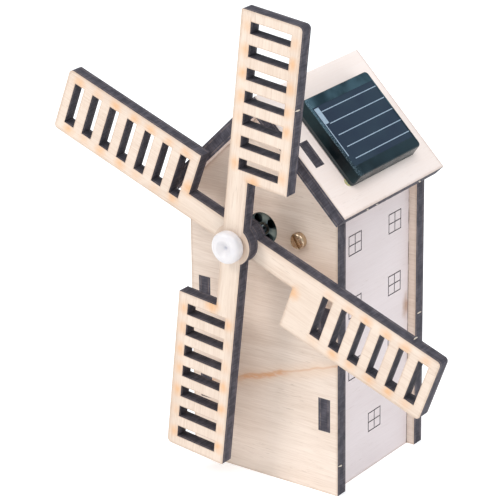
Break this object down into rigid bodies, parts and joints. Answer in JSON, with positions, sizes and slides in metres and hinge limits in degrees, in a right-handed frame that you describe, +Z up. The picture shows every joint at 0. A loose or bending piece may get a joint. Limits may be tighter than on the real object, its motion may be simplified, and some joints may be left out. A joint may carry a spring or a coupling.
{
  "type": "solar windmill kit",
  "caption": "Laser-cut plywood windmill with a cast solar module on its roof that runs a small motor and turns four lattice sails.",
  "frame": {"origin": "middle of the front plate's bottom edge, on the surface that the mill stands on", "axes": "+Z up; the sails and the motor shaft face -Y; +X is to the right seen from the front"},
  "size_m": [0.0972, 0.0495, 0.1081],
  "materials": {
    "plywood_front": "laser-cut birch plywood, fine grain, burnt edges",
    "plywood_back": "laser-cut birch plywood, fine grain, burnt edges",
    "plywood_side": "laser-cut birch plywood, pale, burnt edges",
    "plywood_roof": "laser-cut birch plywood, pinkish, burnt edges",
    "plywood_sail": "laser-cut birch plywood, cream with light scorching",
    "white_nylon": "smooth white nylon",
    "polished_steel": "ground steel",
    "plated_can": "dark plated steel",
    "black_plastic": "moulded black plastic",
    "bronze_bearing": "sintered bronze, dark with oil",
    "ferrite": "sintered ferrite",
    "spring_brass": "spring brass",
    "tinned_brass": "tinned",
    "screw_brass": "turned brass",
    "core_steel": "laminated steel",
    "copper_wire": "enamelled copper wire",
    "commutator_copper": "copper",
    "amber_adhesive": "clear amber glue",
    "board_black": "black circuit board",
    "cast_resin": "glossy dark cast resin",
    "silicon": "dark blue silicon under gloss resin",
    "silver_lines": "printed silver",
    "insulation_red": "soft vinyl insulation",
    "insulation_black": "soft vinyl insulation",
    "solder": "solder"
  },
  "bodies": {
    "house": {"front_plate": "plywood_front", "back_plate": "plywood_back", "side_plate_left": "plywood_side", "side_plate_right": "plywood_side", "roof_plate_left": "plywood_roof", "roof_plate_right": "plywood_roof", "motor_can": "plated_can", "motor_end_cap": "black_plastic", "motor_front_bearing": "bronze_bearing", "motor_rear_bearing": "bronze_bearing", "motor_magnets": "ferrite", "motor_brushes": "spring_brass", "motor_terminals": "tinned_brass", "motor_screws": "screw_brass", "module_adhesive": "amber_adhesive", "module_board": "board_black", "module_resin_body": "cast_resin", "solar_cell": "silicon", "cell_fingers": "silver_lines", "cell_busbar": "silver_lines", "module_pads": "tinned_brass", "lead_red": "insulation_red", "lead_black": "insulation_black", "solder_joints": "solder"},
    "rotor": {"motor_shaft": "polished_steel", "armature_core": "core_steel", "armature_windings": "copper_wire", "commutator_base": "black_plastic", "commutator_segments": "commutator_copper", "sail_bar_front": "plywood_sail", "sail_bar_back": "plywood_sail", "hub_cap": "white_nylon"}
  },
  "joints": [
    {"name": "rotor_spin", "type": "hinge", "parent": "house", "child": "rotor", "pos_m": [0, -0.0125, 0.05703], "axis": [0, 1, 0], "continuous": true}
  ]
}
